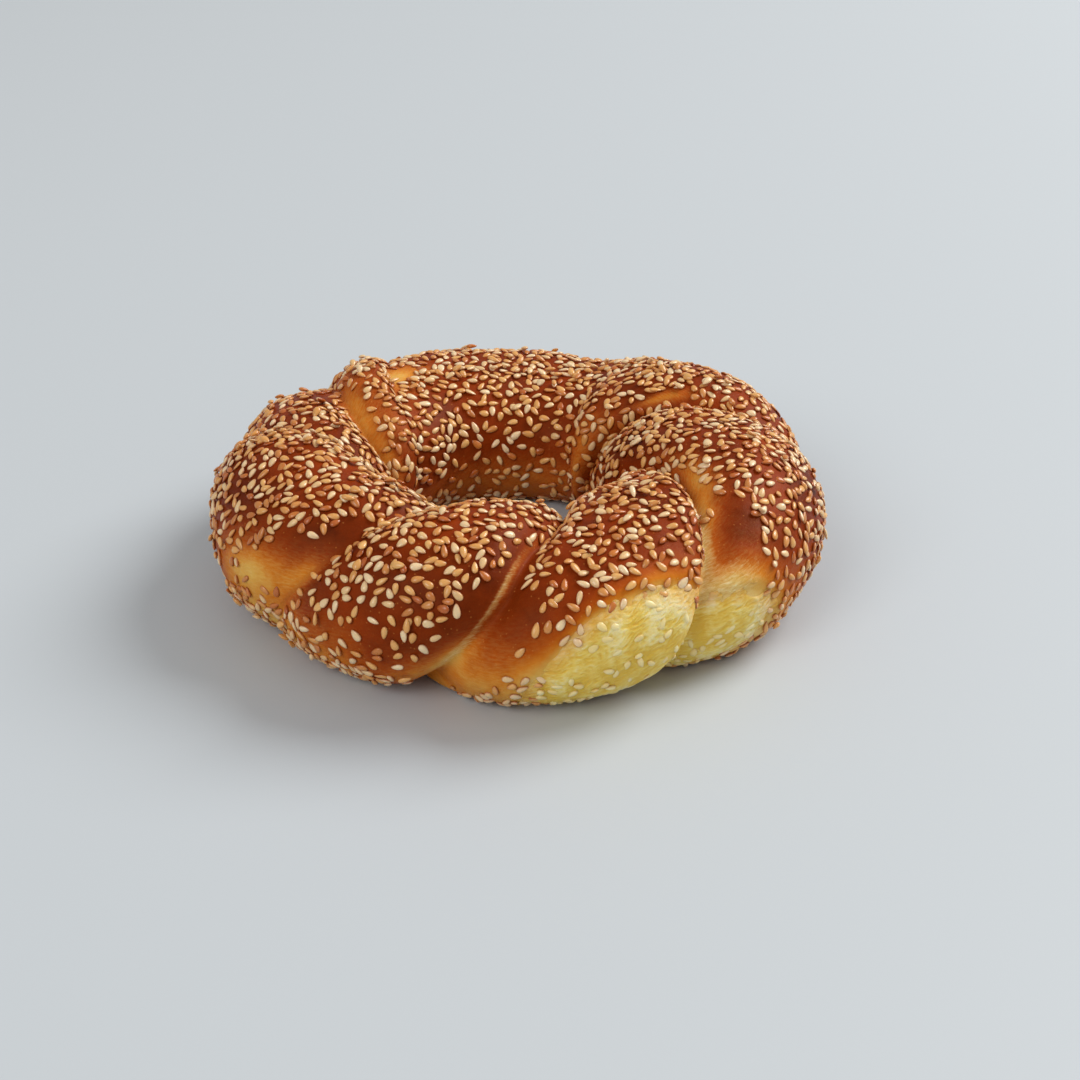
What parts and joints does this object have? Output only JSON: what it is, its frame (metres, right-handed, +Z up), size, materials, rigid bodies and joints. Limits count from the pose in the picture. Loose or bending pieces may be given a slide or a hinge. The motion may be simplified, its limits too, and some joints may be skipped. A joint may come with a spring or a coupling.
{
  "type": "butter simit",
  "caption": "Ring of twisted bread dough with a browned crust, a coat of sesame seeds and a torn patch of yellow crumb; rests on a flat underside.",
  "frame": {"origin": "on the surface that the bread stands on, under the middle of its bounding box", "axes": "+Z up, -Y towards the side with the torn crumb, +X to the right when that side is seen from the front"},
  "size_m": [0.1547, 0.1514, 0.0429],
  "materials": {
    "crust": "baked crust, satin, from golden in the creases to mahogany on top"
  },
  "bodies": {
    "root": {"simit": "crust"}
  },
  "joints": []
}
